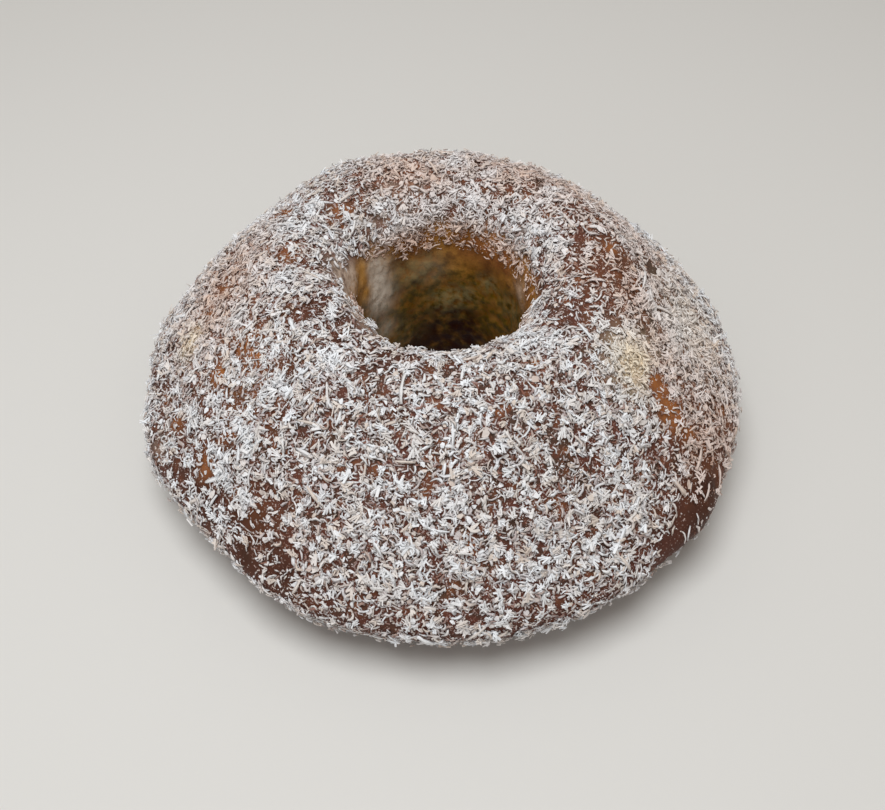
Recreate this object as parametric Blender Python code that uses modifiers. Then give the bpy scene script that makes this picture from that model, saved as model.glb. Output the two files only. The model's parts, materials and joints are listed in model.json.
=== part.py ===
"""Coconut ring cake.

A baked ring with a domed crust and a round hole, coated with shredded coconut. It stands
on the floor, z = 0, round the Z axis, and the front is towards -Y. Lengths are in metres.
"""

import math
import random

import bmesh
import bpy
import numpy as np
from mathutils import Matrix, Vector, noise
from mathutils.bvhtree import BVHTree

MM = 0.001
NAME = "coconut_ring_cake"

# Driving sizes of the ring's section, measured from the axis and from the floor.
OUTER_RADIUS = 0.0930
WIDEST_HEIGHT = 0.0238
CREST_RADIUS = 0.0472
CREST_HEIGHT = 0.0690
HOLE_RADIUS = 0.0256
NARROWEST_HEIGHT = 0.0353
BASE_OUTER_RADIUS = 0.0745
BASE_INNER_RADIUS = 0.0266
HOLE_SHIFT = 0.0016

# How full each quarter of the section is: 1 is a straight slope, 2 an ellipse, more is squarer.
DOME_FULLNESS = 1.2
FLANK_FULLNESS = 1.6
TUBE_FULLNESS = 1.7
RIM_FULLNESS = 3.6
ROUNDING_PASSES = 16

# The ring's mesh: points on each quarter and their spacing while the section is rounded, then
# those of the finished section and the steps round the axis.
QUARTER_POINTS = 60
FINE_STEP = 0.001
ON_FLOOR = 0.0001
SECTION_POINTS = 26
TURN_STEPS = 68
CURVE_WEIGHT = 0.015
MERGE_DISTANCE = 0.00001

# Swells (+) and hollows (-) that the crust shows: azimuth in degrees, then radius, height,
# reach and rise in millimetres.
SWELLS = (
    (160, 89, 30, 16, -1.9),
    (141, 75, 48, 14, -1.6),
    (124, 63, 60, 14, 1.8),
    (-162, 92, 24, 14, 2.0),
    (-134, 92, 20, 18, -2.2),
    (-114, 91, 18, 12, 1.0),
    (36, 79, 43, 17, -1.7),
    (-22, 92, 24, 9, -1.6),
    (-37, 92, 21, 12, 2.3),
    (-75, 70, 52, 20, 1.0),
    (-82, 31, 62, 9, -1.2),
    (-114, 31, 64, 8, -2.6),
    (-46, 30, 62, 8, -1.6),
)
BROAD_WAVE = (0.034, 0.0007)
SMALL_WAVE = (0.013, 0.0003)
CALM_HEIGHT = 0.009

# Shreds of coconut, the largest of the coat.
SHRED_COUNT = 256
SHRED_LENGTH = (0.0048, 0.0090)
SHRED_WIDTH = (0.0010, 0.0014)
SHRED_THICKNESS = (0.0009, 0.0012)
SHRED_LIFTS = (0.0, 0.0, 0.06, 0.14)
SHRED_BEND = 0.16
SHRED_TAPER = 0.4
SHRED_RAISED = 0.0001
SHRED_SPACING = 0.0115
SHRED_TRIES = 40000
SHRED_CLEARANCE = 0.0040
BARE_WALL_HEIGHT = 0.046
BARE_WALL_RADIUS = 0.033
SEED = 11

CRUST_COLOUR = (0.42, 0.22, 0.12)
CRUST_ROUGHNESS = 0.55
SHARP_EDGE_DEG = 35


def clear_scene():
    for thing in list(bpy.data.objects):
        bpy.data.objects.remove(thing, do_unlink=True)


def new_collection(name):
    group = bpy.data.collections.new(name)
    bpy.context.scene.collection.children.link(group)
    return group


def crust_material():
    material = bpy.data.materials.new("baked_crust")
    material.use_nodes = True
    shader = material.node_tree.nodes["Principled BSDF"]
    shader.inputs["Base Color"].default_value = (*CRUST_COLOUR, 1.0)
    shader.inputs["Roughness"].default_value = CRUST_ROUGHNESS
    shader.inputs["Metallic"].default_value = 0.0
    return material


def quarter(crown, side, fullness):
    """A superellipse quarter from its level end, the crown, to its upright end, the side."""
    turn = np.linspace(0.0, math.pi / 2, QUARTER_POINTS)
    across = np.sin(turn) ** (2 / fullness)
    down = 1.0 - np.cos(turn) ** (2 / fullness)
    radius = crown[0] + (side[0] - crown[0]) * across
    height = crown[1] + (side[1] - crown[1]) * down
    return np.column_stack((radius, height))


def read_loop(loop, count, curve_weight=0.0):
    """The closed loop read again at count points, closer together where it curves.

    A full turn of the loop counts as much as 2 pi times the curve weight of its length.
    """
    steps = np.roll(loop, -1, axis=0) - loop
    heading = np.arctan2(steps[:, 1], steps[:, 0])
    bend = np.abs((np.roll(heading, -1) - heading + math.pi) % (2 * math.pi) - math.pi)
    run = np.cumsum(np.linalg.norm(steps, axis=1) + curve_weight * bend)
    run = np.concatenate(([0.0], run))
    closed = np.vstack((loop, loop[:1]))
    stops = np.linspace(0.0, run[-1], count, endpoint=False)
    return np.column_stack([np.interp(stops, run, closed[:, axis]) for axis in (0, 1)])


def ring_section():
    """The ring's section as (radius, height): crest, dome, flank, flat base, hole wall, rim."""
    crest = (CREST_RADIUS, CREST_HEIGHT)
    widest = (OUTER_RADIUS, WIDEST_HEIGHT)
    narrowest = (HOLE_RADIUS, NARROWEST_HEIGHT)
    base_edge = (BASE_OUTER_RADIUS, 0.0)
    hole_foot = (BASE_INNER_RADIUS, 0.0)
    dome = quarter(crest, widest, DOME_FULLNESS)
    flank = quarter(base_edge, widest, FLANK_FULLNESS)[::-1]
    tube = quarter(hole_foot, narrowest, TUBE_FULLNESS)
    rim = quarter(crest, narrowest, RIM_FULLNESS)[::-1]
    loop = np.vstack((dome[:-1], flank, tube[:-1], rim[:-1]))
    length = np.linalg.norm(np.diff(loop, axis=0), axis=1).sum()
    loop = read_loop(loop, round(length / FINE_STEP))
    off_base = loop[:, 1] > ON_FLOOR
    for _ in range(ROUNDING_PASSES):
        softer = (np.roll(loop, 1, axis=0) + 2 * loop + np.roll(loop, -1, axis=0)) / 4
        loop[off_base] = softer[off_base]
    return loop


def turned_ring():
    """The section turned round the axis, as a plain mesh."""
    section = read_loop(ring_section(), SECTION_POINTS, CURVE_WEIGHT)
    profile = bpy.data.meshes.new("ring_profile")
    corners = [(radius, 0.0, height) for radius, height in section]
    edges = [(index, (index + 1) % SECTION_POINTS) for index in range(SECTION_POINTS)]
    profile.from_pydata(corners, edges, [])
    ring = bpy.data.objects.new("ring_profile", profile)
    bpy.context.scene.collection.objects.link(ring)
    screw = ring.modifiers.new("turn", "SCREW")
    screw.axis = "Z"
    screw.steps = TURN_STEPS
    screw.render_steps = TURN_STEPS
    screw.use_merge_vertices = True
    screw.merge_threshold = MERGE_DISTANCE
    graph = bpy.context.evaluated_depsgraph_get()
    mesh = bpy.data.meshes.new_from_object(ring.evaluated_get(graph))
    bpy.data.objects.remove(ring, do_unlink=True)
    return mesh


def swell_at(point):
    """How far the crust stands out (+) or in (-) of the plain turned ring at a point."""
    rise = 0.0
    for azimuth, radius, height, reach, amount in SWELLS:
        angle = math.radians(azimuth)
        centre = Vector((radius * math.cos(angle), radius * math.sin(angle), height)) * MM
        distance = (point - centre).length / (reach * MM)
        rise += amount * MM * math.exp(-distance * distance)
    for wavelength, depth in (BROAD_WAVE, SMALL_WAVE):
        rise += depth * 2 * noise.noise(point / wavelength)
    calm = min(max(point.z / CALM_HEIGHT, 0.0), 1.0)
    return rise * calm * calm * (3 - 2 * calm)


def uneven_ring(mesh):
    """Moves the turned ring's points to the crust's real, uneven form."""
    moves = [point.normal * swell_at(point.co) for point in mesh.vertices]
    for point, move in zip(mesh.vertices, moves):
        radius = math.hypot(point.co.x, point.co.y)
        inward = (OUTER_RADIUS - radius) / (OUTER_RADIUS - HOLE_RADIUS)
        point.co += move + Vector((0.0, HOLE_SHIFT * inward, 0.0))


def shred_mesh(rng, length):
    """A bar along X: tapered, slightly bent sideways and lifted at one end.

    It starts as a cube of size 1, whose edges along X get a middle point.
    """
    width = rng.uniform(*SHRED_WIDTH)
    thickness = rng.uniform(*SHRED_THICKNESS)
    bend = rng.uniform(-SHRED_BEND, SHRED_BEND) * length
    lift = rng.choice(SHRED_LIFTS) * length
    bar = bmesh.new()
    bmesh.ops.create_cube(bar, size=1.0)
    along = [edge for edge in bar.edges if edge.verts[0].co.x * edge.verts[1].co.x < 0]
    bmesh.ops.subdivide_edges(bar, edges=along, cuts=1)
    for corner in bar.verts:
        share = 2 * corner.co.x
        taper = 1.0 - SHRED_TAPER * share * share
        corner.co.y = corner.co.y * width * taper + bend * share * share
        corner.co.z = corner.co.z * thickness + lift * max(share, 0.0) ** 2
        corner.co.x *= length
    mesh = bpy.data.meshes.new("shred")
    bar.to_mesh(mesh)
    bar.free()
    return mesh


def shred_places(mesh, rng):
    """Seeded places on the crust, clear of each other: (point, normal, length), longest first."""
    tree = BVHTree.FromPolygons([v.co for v in mesh.vertices], [p.vertices for p in mesh.polygons])
    faces = list(mesh.polygons)
    areas = np.cumsum([face.area for face in faces])
    lengths = sorted((rng.uniform(*SHRED_LENGTH) for _ in range(SHRED_COUNT)), reverse=True)
    places = []
    for _ in range(SHRED_TRIES):
        if len(places) == SHRED_COUNT:
            break
        face = faces[int(np.searchsorted(areas, rng.random() * areas[-1]))]
        corners = [mesh.vertices[index].co for index in face.vertices]
        across = corners[0].lerp(corners[1], rng.random())
        opposite = corners[-1].lerp(corners[2], rng.random())
        point, normal, _, _ = tree.find_nearest(across.lerp(opposite, rng.random()))
        in_hole = math.hypot(point.x, point.y) < BARE_WALL_RADIUS
        too_low = point.z < (BARE_WALL_HEIGHT if in_hole else SHRED_CLEARANCE)
        if too_low or any((point - other[0]).length < SHRED_SPACING for other in places):
            continue
        places.append((point, normal, lengths[len(places)]))
    return places


def scatter_shreds(mesh, group):
    """The shreds as objects, each half sunk in the crust and turned its own way."""
    rng = random.Random(SEED)
    for number, (point, normal, length) in enumerate(shred_places(mesh, rng)):
        shred = bpy.data.objects.new(f"shred_{number:03d}", shred_mesh(rng, length))
        group.objects.link(shred)
        level = normal.to_track_quat("Z", "Y").to_matrix().to_4x4()
        spin = Matrix.Rotation(rng.uniform(0.0, 2 * math.pi), 4, "Z")
        middle = point + normal * SHRED_RAISED
        shred.matrix_world = Matrix.Translation(middle) @ level @ spin


def fused(cake, group):
    """One closed mesh of the ring and its shreds; the loose shreds are removed."""
    union = cake.modifiers.new("fuse_shreds", "BOOLEAN")
    union.operation = "UNION"
    union.operand_type = "COLLECTION"
    union.collection = group
    union.solver = "EXACT"
    graph = bpy.context.evaluated_depsgraph_get()
    mesh = bpy.data.meshes.new_from_object(cake.evaluated_get(graph))
    cake.modifiers.clear()
    for shred in list(group.objects):
        bpy.data.objects.remove(shred, do_unlink=True)
    bpy.data.collections.remove(group)
    return mesh


def make_cake():
    parts = new_collection("coconut_cake")
    shreds = new_collection("loose_shreds")
    ring = turned_ring()
    uneven_ring(ring)
    cake = bpy.data.objects.new(NAME, ring)
    parts.objects.link(cake)
    scatter_shreds(ring, shreds)
    bpy.context.view_layer.update()
    cake.data = fused(cake, shreds)
    cake.data.name = NAME
    cake.data.materials.clear()
    cake.data.materials.append(crust_material())
    cake.data.shade_smooth()
    cake.data.set_sharp_from_angle(angle=math.radians(SHARP_EDGE_DEG))


clear_scene()
make_cake()
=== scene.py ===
"""Looks of the coconut ring cake: the glazed crust and its coat of shredded coconut."""

import json
import math
import random
from typing import NamedTuple

import bmesh
import bpy
import numpy as np
from bpy.props import FloatProperty, FloatVectorProperty, IntProperty, PointerProperty
from mathutils import Matrix, Vector, noise

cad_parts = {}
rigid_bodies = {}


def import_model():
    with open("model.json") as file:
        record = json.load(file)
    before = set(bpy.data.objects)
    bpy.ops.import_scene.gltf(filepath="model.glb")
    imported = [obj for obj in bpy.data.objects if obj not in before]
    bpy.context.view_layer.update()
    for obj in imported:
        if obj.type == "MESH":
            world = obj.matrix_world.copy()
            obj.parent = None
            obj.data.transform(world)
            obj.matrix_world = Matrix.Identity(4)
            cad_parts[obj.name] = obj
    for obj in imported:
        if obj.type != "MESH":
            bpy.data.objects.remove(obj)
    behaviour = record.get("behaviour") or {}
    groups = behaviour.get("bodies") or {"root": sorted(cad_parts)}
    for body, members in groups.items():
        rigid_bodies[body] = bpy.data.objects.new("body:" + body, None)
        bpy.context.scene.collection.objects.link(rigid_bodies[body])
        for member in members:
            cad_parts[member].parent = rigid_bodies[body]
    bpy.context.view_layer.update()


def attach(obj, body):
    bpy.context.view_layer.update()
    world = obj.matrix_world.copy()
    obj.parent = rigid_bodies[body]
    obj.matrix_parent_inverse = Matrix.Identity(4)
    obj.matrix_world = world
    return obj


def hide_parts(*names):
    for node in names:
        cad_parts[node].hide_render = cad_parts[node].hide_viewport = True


bl_info = {
    "name": "Coconut ring cake",
    "version": (1, 0, 0),
    "blender": (4, 5, 0),
    "location": "3D View > Sidebar > Cake",
    "description": "Bakes a ring cake and coats it with shredded coconut",
    "category": "Object",
}

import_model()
NODE = "coconut_ring_cake"
BODY = "root"
CRUST = "cake_ring_crust"
MM = 0.001
MM_PER_METRE = 1000
SQUARE_CM_PER_SQUARE_METRE = 1e4

# The photograph's frame and the camera fitted to it.
FRAME_WIDTH = 885
FOCAL_PIXELS = 1074
SENSOR_MM = 36.0
CAMERA_PLACE = (-0.00025, -0.2287, 0.2786)
LOOK_DOWN_DEG = 50.0
NEAREST_SEEN = 0.01

# The stage: places and sizes in metres, tints of the light as linear red, green and blue.
FLOOR_HALF_WIDTH = 3.0
LIT_PLACE = (0.0, 0.0, 0.04)
KEY_PLACE = (-0.08, -0.15, 0.86)
KEY_SIZE = 0.5
KEY_TINT = (0.95, 0.98, 1.0)
FILL_PLACE = (-0.5, -0.7, 0.35)
FILL_SIZE = 0.6
FILL_TINT = (0.78, 0.89, 1.0)
SKY_TINT = (1.0, 0.93, 0.86, 1.0)

# Swells (+) and hollows (-) of the crust: azimuth in degrees, then radius, height, reach and
# rise in millimetres.
SWELLS = (
    (160, 89, 30, 16, -1.9), (141, 75, 48, 14, -1.6), (124, 63, 60, 14, 1.8),
    (-162, 92, 24, 14, 2.0), (-134, 92, 20, 18, -2.2), (-114, 91, 18, 12, 1.0),
    (36, 79, 43, 17, -1.7), (-22, 92, 24, 9, -1.6), (-37, 92, 21, 12, 2.3), (-75, 70, 52, 20, 1.0),
    (-82, 31, 62, 9, -1.2), (-114, 31, 64, 8, -2.6), (-46, 30, 62, 8, -1.6),
)

# A thin fold of the crust on the right, raised in the same terms.
FOLD = (
    (14, 54, 66, 3, 1.0), (9, 55.5, 65, 3, 1.0), (4, 57, 64, 3, 1.0), (-1, 58, 63, 3, 1.0),
    (-6, 59.5, 61, 3, 1.0),
)

# Waves of the crust, each with its length and height in metres. Swells and waves fade out
# below the calm height, so that the base stays flat.
BROAD_WAVE = (0.034, 0.0007)
SMALL_WAVE = (0.013, 0.0003)
CALM_HEIGHT = 0.009

# How far Blender's noise mostly strays to either side of its middle.
NOISE_REACH = 0.5

# Where the crown turns into the hole's wall, as radii, and the heights at which each of the
# wall's skins begins and, lower down, is full. The middle and foot colours are painted shade:
# the wall grows darker down the hole.
HOLE_EDGE = (0.036, 0.031)
WALL_MARKS = {
    "wall": (0.062, 0.055),
    "wall_middle_shaded": (0.050, 0.036),
    "wall_foot_shade": (0.020, 0.004),
}

# Heights between which the coat ends in the hole, ends above the base and thins down the side,
# and those between which the crust's fine relief and its meal end above the base.
COAT_IN_HOLE = (0.061, 0.047)
COAT_ABOVE_BASE = (0.0025, 0.010)
COAT_DOWN_SIDE = (0.010, 0.042)
RELIEF_ABOVE_BASE = (0.0005, 0.004)

# As shares of the usual coat: what is left of it at the foot of the side, the least of it and
# of its meal outside the hole, what is too little to stick, and the most.
COAT_LOW_DOWN = 0.4
LEAST_COAT = 0.1
LEAST_MEAL = 0.7
BARE_BELOW = 0.1
MOST_COAT = 2.0

# Broad places where the coat is thicker (+) or thinner (-) than elsewhere: azimuth in degrees,
# radius, height and reach in millimetres, then the change as a share of the usual coat.
COAT_PATCHES = (
    (-172, 86, 34, 8, -0.6), (142, 62, 59, 9, -0.3), (-5, 46, 68, 7, -0.45), (16, 43, 69, 9, -0.4),
    (0, 41, 68, 6, -0.3), (-17, 41, 68, 5, -0.3), (-26, 47, 68, 9, -0.55), (8, 53, 66, 13, -0.4),
    (-30, 73, 49, 5, -0.5), (-34, 79, 43, 5, -0.4), (-116, 38, 69, 7, -0.45),
    (-141, 33, 67, 7, -0.25), (-118, 31, 63, 7, -0.3), (-104, 38, 69, 6, -0.3),
    (-150, 43, 69, 8, -0.45), (-135, 30, 62, 4, -0.4), (138, 42, 68, 6, -0.3),
    (-38, 92, 26, 11, -1.3), (-46, 92, 24, 9, -1.2), (-30, 93, 21, 8, -0.9), (-18, 92, 24, 4, -0.7),
    (-28, 91, 31, 8, -0.5), (-125, 88, 29, 14, -0.55), (-136, 87, 32, 8, -0.3),
    (-121, 83, 37, 7, -0.3), (-128, 81, 40, 6, -0.35), (-138, 84, 37, 7, -0.25),
    (-131, 76, 46, 6, 0.45), (-145, 63, 58, 5, 0.3), (175, 55, 64, 6, 0.25), (158, 62, 58, 7, 0.2),
    (-165, 46, 68, 6, 0.45), (155, 43, 69, 5, 0.3), (-160, 76, 46, 6, 0.25), (5, 71, 50, 6, 0.25),
    (-146, 80, 41, 16, -0.15), (-22, 88, 34, 12, -0.3), (-24, 52, 65, 5, -0.7),
    (-25, 62, 58, 5, 0.25), (-28, 68, 53, 3.5, -0.6), (-150, 88, 32, 12, -0.35),
    (-151, 64, 58, 14, -0.1), (-27, 58, 61, 7, 0.8), (-33, 59, 61, 7, 0.4), (-13, 68, 53, 8, 0.6),
    (-6, 59, 61, 5, 0.4), (-134, 67, 55, 10, -0.3), (-140, 51, 66, 7, -0.15), (112, 29, 54, 7, 1.5),
    (60, 29, 57, 6, 0.5), (38, 31, 61, 7, 0.8), (-178, 29.5, 61, 5, -1.3), (164, 28.5, 58, 5, -1.3),
    (158, 27.5, 52, 8, -1.2), (160, 32, 65, 4, 0.4), (-90, 32, 64, 8, -0.3),
    (134, 27.5, 49, 5, -1.0), (-160, 29.5, 60, 5, -0.8), (-148, 29.5, 62, 4, -0.5),
    (-135, 31, 65, 3, -0.3), (12, 27, 56, 8, -0.5), (-6, 26, 51, 8, -0.7),
)

# Where the colours differ, in the same terms. The crust is golden or dark, the dark partly painted
# shade, and the coconut on it rosy with glaze, dry and white, partly as painted light, or mealy and
# buttery. In the hole, the wall is also dull, pale with painted light, amber, under a greyish painted
# haze, or darker with painted shade at its far foot and a few darker spots higher up.
TINT_PATCHES = {
    "golden": (
        (-31, 74, 48, 5, 0.5), (-28, 68, 53, 3.5, 0.8), (-151, 64, 58, 16, 0.4),
        (-128, 82, 38, 8, 0.15), (142, 62, 58, 12, 0.5), (108, 28, 52, 5, 0.8),
        (70, 28, 53, 8, 0.9), (45, 28, 52, 7, 0.9), (12, 27, 54, 6, 0.6), (-6, 26, 48, 6, 0.9),
    ),
    # Darker crust, partly painted shade on the lower flanks, which get less light.
    "dark": (
        (-38, 92, 24, 15, 0.8), (-125, 86, 30, 16, 0.5), (-116, 38, 69, 11, 0.7),
        (-142, 33, 67, 8, 0.5), (8, 53, 66, 14, 0.3), (178, 30, 66, 3, 0.7),
        (-150, 80, 42, 22, 0.3), (-172, 86, 34, 8, 0.7), (-150, 43, 69, 10, 0.35),
    ),
    "rosy": (
        (180, 66, 55, 20, 0.9), (165, 60, 60, 12, 0.3), (0, 47, 68, 14, 0.7), (-8, 57, 62, 12, 0.7),
        (-22, 66, 55, 12, 0.6), (-22, 88, 33, 20, 0.8), (-32, 88, 34, 12, 0.8),
        (-124, 84, 36, 14, 0.25), (45, 50, 68, 16, 0.7), (110, 44, 68, 13, 0.8),
        (92, 33, 64, 12, 0.8), (66, 48, 68, 16, 0.7), (20, 64, 58, 16, 0.6), (-6, 74, 49, 14, 0.4),
    ),
    # Whiter, drier coconut, partly painted light where the hole's rim shades the coat.
    "dry_and_lit": (
        (-137, 58, 61, 12, 0.1), (2, 71, 50, 7, 0.5), (-145, 74, 48, 16, 0.5),
        (-138, 83, 37, 10, 0.4), (161, 42, 68, 10, 0.5), (113, 30, 59, 9, 0.8),
        (78, 33, 65, 9, 0.6), (48, 36, 68, 9, 0.7), (-6, 61, 60, 6, 0.8), (-10, 70, 51, 9, 0.9),
        (-30, 58, 62, 9, 0.6),
    ),
    "mealy": (
        (-30, 60, 60, 8, 1.0), (-28, 68, 53, 4, -0.8), (-2, 74, 48, 16, 0.25),
        (-173, 75, 46, 5, 0.8),
    ),
    "dull": (
        (176, 29.5, 61, 6, 1.0), (-166, 29, 58, 6, 1.0), (166, 28.5, 57, 4, 0.9),
        (-150, 29, 61, 4, 0.9), (-135, 29.5, 62, 4, 0.8), (-115, 30, 63, 4, 0.7),
        (22, 27, 48, 5, 0.8),
    ),
    # Pale stretches of the hole's wall, made near white as painted light that lifts them out of the hole's
    # shade.
    "pale": (
        (141, 28, 51, 5, 1.0), (140, 27, 44, 5.6, 1.0), (138, 27, 36, 5.6, 0.9),
        (136, 27, 23, 4, 0.5), (100, 27, 42, 6, 0.15),
    ),
    "amber": (
        (153, 27, 55, 2.8, 1.0), (153, 27, 50, 2.8, 1.0), (152, 27, 45, 2.8, 1.0),
    ),
    # Painted haze: a greyish reflection laid over parts of the hole's wall.
    "painted_haze": (
        (112, 28, 43, 6, 0.9), (100, 28, 47, 4, 0.5), (88, 27, 29, 6, 0.8), (72, 27, 32, 4, 0.6),
        (58, 28, 39, 4, 0.8), (125, 27, 18, 9, 0.3), (34, 27, 35, 6, 0.6),
    ),
    # Painted shade low on the hole's far wall, and a few smaller darker spots higher up.
    "foot_shade_and_spots": (
        (86, 28, 6, 15, 1.0), (84, 27, 20, 7, 0.7), (70, 27, 15, 9, 0.6), (61, 28, 44, 4, 0.7),
        (75, 28, 49, 3, 0.5), (122, 28, 48, 3, 0.5),
    ),
}

# Small spots of the coat, by what they look like: which marks each group changes and by how
# much, then its spots as azimuth, radius, height and reach.
SPOTS = (
    # Nearly bare, orange brown.
    (
        {"coat": -0.5, "golden": 0.8},
        (
            (148, 58, 62, 4), (140, 66, 56, 4), (134, 72, 50, 4), (174, 44, 69, 3.5),
            (170, 52, 66, 2.5), (178, 65, 56, 3.5), (-178, 70, 52, 4), (176, 57, 63, 2.5),
            (-159, 60, 60, 3), (-151, 58, 61, 3), (-156, 68, 53, 4), (-165, 85, 36, 3),
            (-143, 83, 39, 4), (-157, 84, 38, 3.5), (-27, 67, 54, 3), (-31, 72, 50, 4),
            (-31, 75, 47, 4), (-30, 80, 42, 3.5), (-18, 86, 35, 3), (9, 50, 68, 2.5),
            (142, 39, 68, 3),
        ),
    ),
    # Nearly bare, dark brown.
    (
        {"coat": -0.45, "dark": 0.6},
        (
            (-158, 40, 69, 3.5), (-158, 34, 67, 3), (172, 36, 68, 3), (176, 32, 65, 3),
            (-130, 41, 69, 3.5), (-136, 47, 68, 3.5), (-142, 50, 67, 2.5), (-138, 54, 64, 3),
            (6, 58, 62, 4), (8, 63, 59, 3.5), (-39, 39, 68, 4), (-19, 58, 61, 3),
            (-32, 52, 66, 2.5), (121, 47, 69, 3), (-142, 86, 34, 4), (-132, 85, 35, 3),
            (-127, 83, 37, 3.5), (-138, 89, 28, 3.5), (-127, 90, 27, 3), (-118, 89, 30, 4),
            (-33, 91, 30, 4), (-1, 52, 65.5, 2), (-7, 54, 65, 2), (6, 50.5, 67, 2),
            (11, 63, 59, 2.5), (10, 65, 57, 3), (7, 63, 58, 2.5), (1, 61, 60, 2),
            (-18, 59, 61, 2.5),
        ),
    ),
    # Thinly coated, of a dull pinkish brown.
    (
        {"coat": -0.4, "dull": 0.3},
        (
            (115, 38, 68, 2.8), (103, 37, 67, 3), (124, 30, 63, 3), (135, 32, 64, 3),
            (113, 31, 63, 3), (98, 30, 60, 2.8), (75, 30, 60, 2.8), (84, 34, 66, 2.5),
            (63, 30, 59, 2.5), (44, 32, 64, 2.5), (-156, 90, 30, 4),
        ),
    ),
    # Heaped, dry and white.
    (
        {"coat": 0.9, "dry_and_lit": 1.0},
        (
            (159, 49, 67, 4.5), (-170, 45, 69, 5), (-147, 45, 69, 2), (-146, 38, 68, 2.5),
            (147, 48, 68, 4), (78, 35, 66, 4), (95, 33, 64, 3.5), (-167, 59, 60, 3),
            (-148, 56, 62, 3), (-128, 46, 68, 4), (-137, 58, 61, 4), (-142, 80, 41, 2.5),
            (-138, 81, 40, 2.5), (-135, 82, 39, 2), (-131, 82, 39, 3), (-133, 87, 31, 3),
            (-138, 71, 51, 2.5), (-144, 74, 49, 2.5), (105, 35, 66, 2.5), (120, 34, 66, 3),
            (92, 29, 57, 3), (86, 46, 69, 3.5), (72, 44, 68, 3), (51, 33, 64, 3), (29, 33, 66, 4),
            (17, 34, 67, 4), (44, 47, 69, 3.5), (-46, 41, 68, 5), (-27, 47, 68, 2.5),
            (14, 54, 66, 2), (9, 55.5, 65, 2), (4, 57, 64, 2), (-1, 58, 63, 2), (-6, 59.5, 61, 2),
        ),
    ),
)

# Where tufts stand out of the coat: places as above with their shares, then a share for the
# sides, and the heights between which that share ends towards the crest.
PEAKS = (
    (168, 69, 53, 4, 1.0), (168, 76, 48, 4, 1.0), (158, 66, 56, 4, 0.6), (-170, 84, 38, 5, 0.5),
    (150, 62, 59, 5, 0.3), (-8, 80, 42, 8, 0.3), (12, 78, 44, 8, 0.3),
)
PEAKS_ON_SIDES = 0.1
PEAKS_END = (0.065, 0.058)

# Grains of coconut meal on the crust: their width in millimetres, the height of their relief
# in metres and how well one covers the crust. A grain ends at the first distance from its
# middle, in grain widths, and is full within the second. Each grain draws a number from 0 to
# 1: below the first limit it is missing, and above the second it is fully there.
GRAIN_MM = 0.7
GRAIN_RELIEF = 0.00014
GRAIN_STRENGTH = 0.75
GRAIN_EDGE = (0.42, 0.24)
GRAIN_DRAWN = (0.58, 0.68)

# The crust's marks that the coconut's colours need as well.
COCONUT_MARKS = ("wall", "rosy", "dry_and_lit", "mealy")

# The relief's inputs and the ring's settings that feed them.
RELIEF_INPUTS = {
    "Blister Size": "blister_size",
    "Blister Depth": "blister_depth",
    "Pore Size": "pore_size",
    "Pore Depth": "pore_depth",
}

# Socket places of nodes whose sockets share one name.
MIX_SHARE, MIX_FROM, MIX_TO, MIX_RESULT = 0, 6, 7, 2
RANDOM_SOCKETS = {"FLOAT_VECTOR": (0, 1, 0), "FLOAT": (2, 3, 1), "INT": (4, 5, 2)}


def linear(hex_colour):
    """An sRGB hex colour as linear red, green, blue and alpha."""
    parts = [int(hex_colour[i : i + 2], 16) / 255 for i in (0, 2, 4)]
    curve = [p / 12.92 if p <= 0.04045 else ((p + 0.055) / 1.055) ** 2.4 for p in parts]
    return (*curve, 1.0)


def length(name, description, default):
    """A size in metres."""
    return FloatProperty(name=name, description=description, default=default, unit="LENGTH", precision=4)


def share(name, description, default):
    """A plain number that isn't negative."""
    return FloatProperty(name=name, description=description, default=default, min=0.0)


def colour(name, description, hex_colour):
    """A colour given as sRGB hex and kept as linear."""
    return FloatVectorProperty(
        name=name, description=description, default=linear(hex_colour), size=4, subtype="COLOR"
    )


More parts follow.
